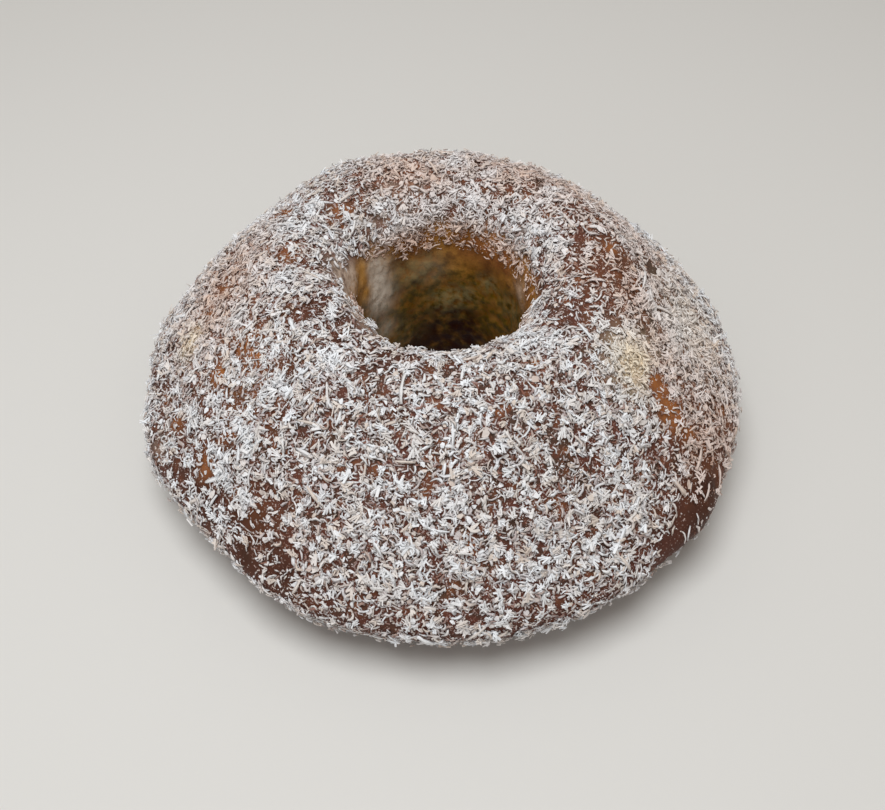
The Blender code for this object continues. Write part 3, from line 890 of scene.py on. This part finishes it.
def scatter_tree(name):
    """Strews pieces over a surface: more where the mark that they follow is high and in clumps,
    each laid along the surface, turned and tilted its own way, at its own depth in the coat."""
    tree, given = new_tree(
        name,
        {
            "Pieces": "Collection",
            "Mark": "String",
            "Density": "Float",
            "Clump Size": "Float",
            "Bed Size": "Float",
            "Between Clumps": "Float",
            "Tilt": "Float",
            "Layer Low": "Float",
            "Layer High": "Float",
            "Soak": "Float",
            "Seed": "Int",
            "Material": "Material",
        },
    )
    place = add(tree, "GeometryNodeInputPosition")

    # What the clumps and beds do to the coat's thickness, its depth and its stains.
    effects = []
    for size, (begins, full), (between, inside) in (
        ("Clump Size", CLUMP_NOISE, (given["Between Clumps"], 1.0)),
        ("Bed Size", BED_NOISE, COAT_BY_BED),
        ("Clump Size", CLUMP_NOISE, DEPTH_BY_CLUMP),
        ("Clump Size", CLUMP_NOISE, SOAK_BY_CLUMP),
    ):
        scale = add(tree, "ShaderNodeMath", {0: 1.0, 1: given[size]}, operation="DIVIDE")
        noise_look = {"Detail": 2.0, "Distortion": 0.8}
        waves = add(tree, "ShaderNodeTexNoise", {"Vector": place, "Scale": scale, **noise_look})
        span = {"From Min": begins, "From Max": full, "To Min": between, "To Max": inside}
        sockets = {"Value": waves, **span}
        effects.append(add(tree, "ShaderNodeMapRange", sockets, interpolation_type="SMOOTHSTEP"))
    coat_by_clump, coat_by_bed, depth_by_clump, soak_by_clump = effects

    # Each random draw has its own seed, so that no draw follows another.
    down = add(tree, "ShaderNodeMath", {0: given["Tilt"], 1: -1.0}, operation="MULTIPLY")
    lean_back = add(tree, "ShaderNodeCombineXYZ", {0: down, 1: down, 2: 0.0})
    lean_forth = add(tree, "ShaderNodeCombineXYZ", {0: given["Tilt"], 1: given["Tilt"], 2: 0.0})
    draws = []
    for number, (kind, low, high) in enumerate(
        (
            ("FLOAT_VECTOR", lean_back, lean_forth),
            ("FLOAT_VECTOR", (0.0, 0.0, 0.0), (0.0, 0.0, math.tau)),
            ("FLOAT_VECTOR", LEAST_STRETCH, MOST_STRETCH),
            ("INT", 0, VARIANTS - 1),
            ("FLOAT", given["Layer Low"], given["Layer High"]),
            ("FLOAT", 0.0, 1.0),
            ("FLOAT", 0.0, given["Soak"]),
        ),
        start=1,
    ):
        seed = add(tree, "ShaderNodeMath", {0: given["Seed"], 1: float(number)}, operation="ADD")
        low_socket, high_socket, result = RANDOM_SOCKETS[kind]
        sockets = {low_socket: low, high_socket: high, "Seed": seed}
        draws.append(add(tree, "FunctionNodeRandomValue", sockets, result, data_type=kind))
    lean, spin, stretch, shape, depth, tone, soak = draws

    coat = add(tree, "GeometryNodeInputNamedAttribute", {"Name": given["Mark"]}, data_type="FLOAT")
    for effect in (coat_by_clump, coat_by_bed):
        coat = add(tree, "ShaderNodeMath", {0: coat, 1: effect}, operation="MULTIPLY")
    tries = add(tree, "ShaderNodeMath", {0: given["Density"], 1: EVEN_TRIES}, operation="MULTIPLY")
    root = add(tree, "ShaderNodeMath", {0: given["Density"]}, operation="SQRT")
    spacing = add(tree, "ShaderNodeMath", {0: EVEN_SPACING, 1: root}, operation="DIVIDE")
    spots = add(
        tree,
        "GeometryNodeDistributePointsOnFaces",
        {
            "Mesh": given[0],
            "Distance Min": spacing,
            "Density Max": tries,
            "Density Factor": coat,
            "Seed": given["Seed"],
        },
        distribute_method="POISSON",
    )
    turned = spots.node.outputs["Rotation"]
    for turn in (lean, spin):
        turned = add(tree, "FunctionNodeRotateRotation", {0: turned, 1: turn}, rotation_space="LOCAL")
    shapes = add(
        tree,
        "GeometryNodeCollectionInfo",
        {"Collection": given["Pieces"], "Separate Children": True, "Reset Children": True},
    )
    pieces = add(
        tree,
        "GeometryNodeInstanceOnPoints",
        {
            "Points": spots,
            "Instance": shapes,
            "Pick Instance": True,
            "Instance Index": shape,
            "Rotation": turned,
            "Scale": stretch,
        },
    )
    raised = add(tree, "ShaderNodeMath", {0: depth, 1: depth_by_clump}, operation="MULTIPLY")
    lift = add(tree, "ShaderNodeCombineXYZ", {2: raised})
    laid = add(
        tree,
        "GeometryNodeTranslateInstances",
        {"Instances": pieces, "Translation": lift, "Local Space": True},
    )
    for name, first, second in (("tone", tone, tone), ("soak", soak, soak_by_clump)):
        amount = add(tree, "ShaderNodeMath", {0: first, 1: second}, operation="MULTIPLY")
        laid = add(
            tree,
            "GeometryNodeStoreNamedAttribute",
            {"Geometry": laid, "Name": name, "Value": amount},
            data_type="FLOAT",
            domain="INSTANCE",
        )
    real = add(tree, "GeometryNodeRealizeInstances", {0: laid})
    painted = add(tree, "GeometryNodeSetMaterial", {"Geometry": real, "Material": given["Material"]})
    add(tree, "NodeGroupOutput", {0: painted})
    return tree


def lay_coconut(kind, coat):
    """Strews one kind of coconut piece over the crust, as one plain mesh."""
    facts = KINDS[kind]
    rng = random.Random(facts.seed)
    shapes = bpy.data.collections.new(f"{kind}_shapes")
    low, high = facts.reach
    for number in range(VARIANTS):
        reach = (low + (high - low) * number / (VARIANTS - 1)) * MM
        mesh = piece_mesh(f"{kind}_{number}", rng, reach, facts)
        shapes.objects.link(bpy.data.objects.new(f"{kind}_{number}", mesh))
    piece = new_object(f"coconut_{kind}", bpy.data.objects[CRUST].data.copy())
    piece.data.materials.clear()
    strew = piece.modifiers.new("strew", "NODES")
    strew.node_group = scatter_tree(f"strew_{kind}")
    material = bpy.data.materials.get("desiccated_coconut") or coconut_material(coat)
    set_inputs(
        strew,
        {
            "Pieces": shapes,
            "Mark": facts.mark,
            "Density": facts.density * coat.spread * SQUARE_CM_PER_SQUARE_METRE,
            "Clump Size": coat.clump_size,
            "Bed Size": coat.bed_size,
            "Between Clumps": facts.between,
            "Tilt": math.radians(facts.tilt),
            "Layer Low": facts.layer[0] * MM,
            "Layer High": facts.layer[1] * MM,
            "Soak": facts.soak,
            "Seed": facts.seed,
            "Material": material,
        },
    )
    mesh = made_plain(piece)
    for mark in ("coat", "meal", "calm", "peaks", *WALL_MARKS, *TINT_PATCHES):
        if mark not in COCONUT_MARKS:
            mesh.attributes.remove(mesh.attributes[mark])
    for shape in list(shapes.objects):
        bpy.data.objects.remove(shape, do_unlink=True)
    bpy.data.collections.remove(shapes)
    if facts.smooth:
        mesh.shade_smooth()
    else:
        mesh.shade_flat()
    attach(piece, BODY)
    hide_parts(NODE)
    print(f"{piece.name}: {sum(len(face.vertices) - 2 for face in mesh.polygons)} triangles")


class CAKE_OT_bake_ring(bpy.types.Operator):
    """Makes the baked ring with its uneven, glazed crust"""

    bl_idname = "cake.bake_ring"
    bl_label = "Bake the ring"

    def execute(self, context):
        size = context.scene.cake_ring
        ring = turned_ring(size)
        shape_ring(ring.data, size)
        mark_ring(ring.data)
        raise_relief(ring, size)
        ring.data.materials.clear()
        ring.data.materials.append(crust_material(size))
        ring.data.shade_smooth()
        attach(ring, BODY)
        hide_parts(NODE)
        return {"FINISHED"}


class StrewStep:
    """What the steps that strew coconut have in common: each names its kinds of piece."""

    kinds = ()

    def execute(self, context):
        for kind in self.kinds:
            lay_coconut(kind, context.scene.cake_coat)
        return {"FINISHED"}


class CAKE_OT_strew_crumbs(StrewStep, bpy.types.Operator):
    """Strews the fine crumbs of coconut, which lie lowest in the coat"""

    bl_idname = "cake.strew_crumbs"
    bl_label = "Strew coconut crumbs"
    kinds = ("meal", "crumbs")


class CAKE_OT_strew_shreds(StrewStep, bpy.types.Operator):
    """Strews the straight shreds of coconut: short, usual and long ones"""

    bl_idname = "cake.strew_shreds"
    bl_label = "Strew coconut shreds"
    kinds = ("short_shreds", "shreds", "wavy_shreds", "long_shreds", "strands")


class CAKE_OT_strew_curls(StrewStep, bpy.types.Operator):
    """Strews the curled shreds, which stand out of the coat"""

    bl_idname = "cake.strew_curls"
    bl_label = "Strew coconut curls"
    kinds = ("curled_shreds",)


class CAKE_OT_strew_flakes(StrewStep, bpy.types.Operator):
    """Strews the broad flakes of coconut and the tufts, lying or standing, of shreds that stick
    together"""

    bl_idname = "cake.strew_flakes"
    bl_label = "Strew coconut flakes"
    kinds = ("flakes", "tufts", "peaks")


def area_light(name, place, size, power, tint):
    """A round, soft light that shines at the cake."""
    lamp = bpy.data.lights.new(name, "AREA")
    lamp.shape = "DISK"
    lamp.size = size
    lamp.energy = power
    lamp.color = tint
    thing = new_object(name, lamp)
    thing.location = place
    towards = Vector(LIT_PLACE) - Vector(place)
    thing.rotation_euler = towards.to_track_quat("-Z", "Y").to_euler()


class CAKE_OT_set_stage(bpy.types.Operator):
    """Sets the pale floor, the soft light and the camera"""

    bl_idname = "cake.set_stage"
    bl_label = "Set the stage"

    def execute(self, context):
        look = context.scene.cake_stage
        # Matt studio paper: an even, pale ground that shows the cake's shadow and no shine.
        paper = bpy.data.materials.new("matt_studio_paper")
        paper.use_nodes = True
        shader = paper.node_tree.nodes["Principled BSDF"]
        shader.inputs["Base Color"].default_value = tuple(look.floor)
        shader.inputs["Roughness"].default_value = 0.9
        sheet = bmesh.new()
        bmesh.ops.create_grid(sheet, x_segments=1, y_segments=1, size=FLOOR_HALF_WIDTH)
        mesh = bpy.data.meshes.new("floor")
        sheet.to_mesh(mesh)
        sheet.free()
        mesh.materials.append(paper)
        new_object("floor", mesh)
        world = bpy.data.worlds.new("soft_room")
        world.use_nodes = True
        sky = world.node_tree.nodes["Background"]
        sky.inputs["Color"].default_value = SKY_TINT
        sky.inputs["Strength"].default_value = look.sky
        context.scene.world = world
        context.scene.view_settings.view_transform = "Standard"
        area_light("key", KEY_PLACE, KEY_SIZE, look.key_power, KEY_TINT)
        area_light("fill", FILL_PLACE, FILL_SIZE, look.fill_power, FILL_TINT)
        camera = bpy.data.cameras.new("camera")
        camera.sensor_width = SENSOR_MM
        camera.lens = SENSOR_MM * FOCAL_PIXELS / FRAME_WIDTH
        camera.clip_start = NEAREST_SEEN
        eye = new_object("camera", camera)
        eye.location = CAMERA_PLACE
        eye.rotation_euler = (math.radians(90 - LOOK_DOWN_DEG), 0.0, 0.0)
        context.scene.camera = eye
        return {"FINISHED"}


class CAKE_PT_panel(bpy.types.Panel):
    """Lists the cake's sizes, colours and making steps"""

    bl_idname = "CAKE_PT_panel"
    bl_label = "Coconut ring cake"
    bl_space_type = "VIEW_3D"
    bl_region_type = "UI"
    bl_category = "Cake"

    def draw(self, context):
        for group in SETTINGS:
            box = self.layout.box()
            settings = getattr(context.scene, group)
            for name in settings.__annotations__:
                box.prop(settings, name)
        for step in STEPS:
            self.layout.operator(step.bl_idname)


STEPS = (
    CAKE_OT_bake_ring,
    CAKE_OT_strew_crumbs,
    CAKE_OT_strew_shreds,
    CAKE_OT_strew_curls,
    CAKE_OT_strew_flakes,
    CAKE_OT_set_stage,
)
SETTINGS = {"cake_ring": RingSettings, "cake_coat": CoatSettings, "cake_stage": StageSettings}
CLASSES = (*SETTINGS.values(), *STEPS, CAKE_PT_panel)


def register():
    for made in CLASSES:
        bpy.utils.register_class(made)
    for name, group in SETTINGS.items():
        setattr(bpy.types.Scene, name, PointerProperty(type=group))


def unregister():
    for name in SETTINGS:
        delattr(bpy.types.Scene, name)
    for made in reversed(CLASSES):
        bpy.utils.unregister_class(made)


def main():
    register()
    for step in STEPS:
        group, name = step.bl_idname.split(".")
        getattr(getattr(bpy.ops, group), name)()


if __name__ == "__main__":
    main()
